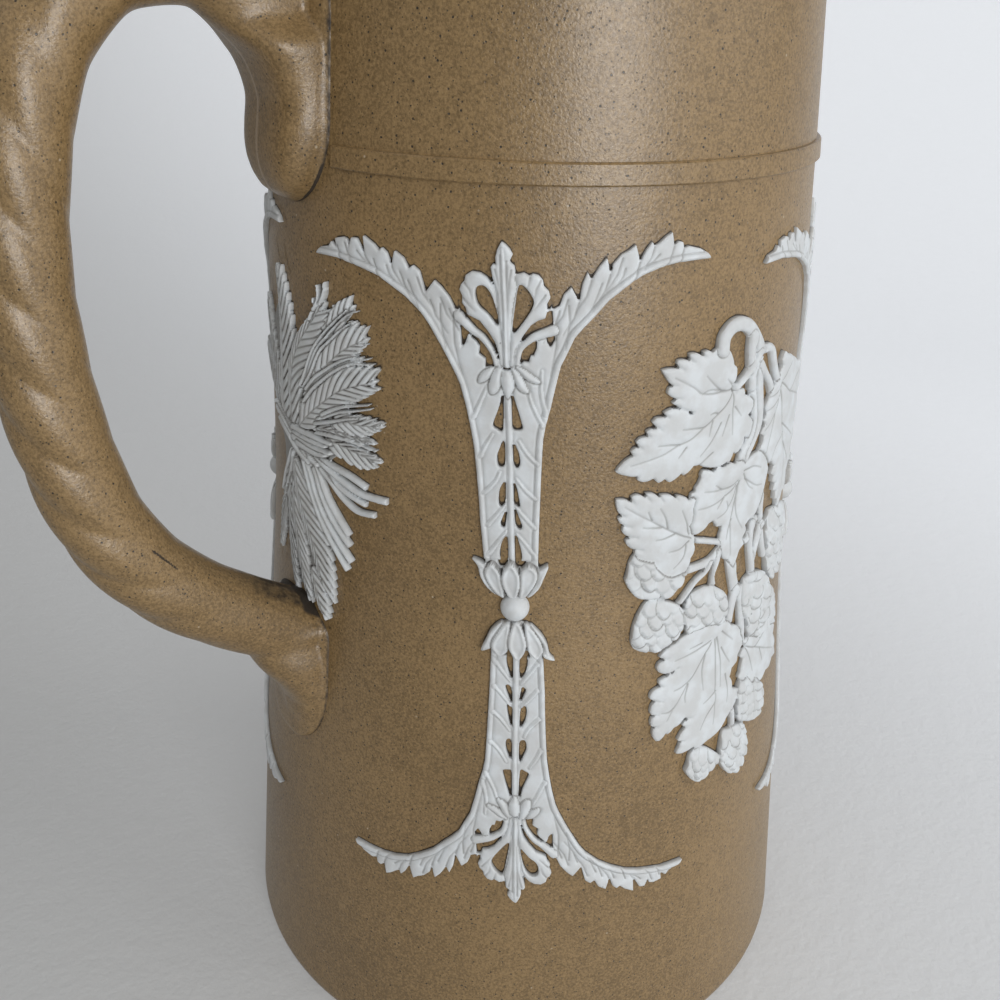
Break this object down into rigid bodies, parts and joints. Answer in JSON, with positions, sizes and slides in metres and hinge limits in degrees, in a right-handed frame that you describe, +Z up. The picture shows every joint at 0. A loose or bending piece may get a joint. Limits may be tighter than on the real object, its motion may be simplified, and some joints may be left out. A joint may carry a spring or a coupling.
{
  "type": "pitcher",
  "caption": "Tall tapering stoneware pitcher with a rope-twist handle, a small pulled lip, a turned girth band and white sprigged columns, hops and barley.",
  "frame": {"origin": "centre of the flat foot, in the plane it stands on", "axes": "+Z up along the body's axis, +X from the axis to the pouring lip, -X to the handle, +Y to the pourer's left"},
  "size_m": [0.1561, 0.1194, 0.2198],
  "materials": {
    "tan_stoneware": "smear-glazed tan stoneware, fine orange-peel skin, dark iron specks",
    "tan_band": "smear-glazed tan stoneware, turned",
    "white_sprig": "dry white unglazed stoneware with dirt in its recesses"
  },
  "bodies": {
    "root": {"body": "tan_stoneware", "girth_band": "tan_band", "handle": "tan_stoneware", "column_1_upper": "white_sprig", "column_1_knop": "white_sprig", "column_1_lower": "white_sprig", "column_2_upper": "white_sprig", "column_2_knop": "white_sprig", "column_2_lower": "white_sprig", "column_3_upper": "white_sprig", "column_3_knop": "white_sprig", "column_3_lower": "white_sprig", "column_4_upper": "white_sprig", "column_4_knop": "white_sprig", "column_4_lower": "white_sprig", "hop_spray_1": "white_sprig", "hop_spray_2": "white_sprig", "barley_sheaf_1": "white_sprig", "barley_sheaf_2": "white_sprig"}
  },
  "joints": []
}
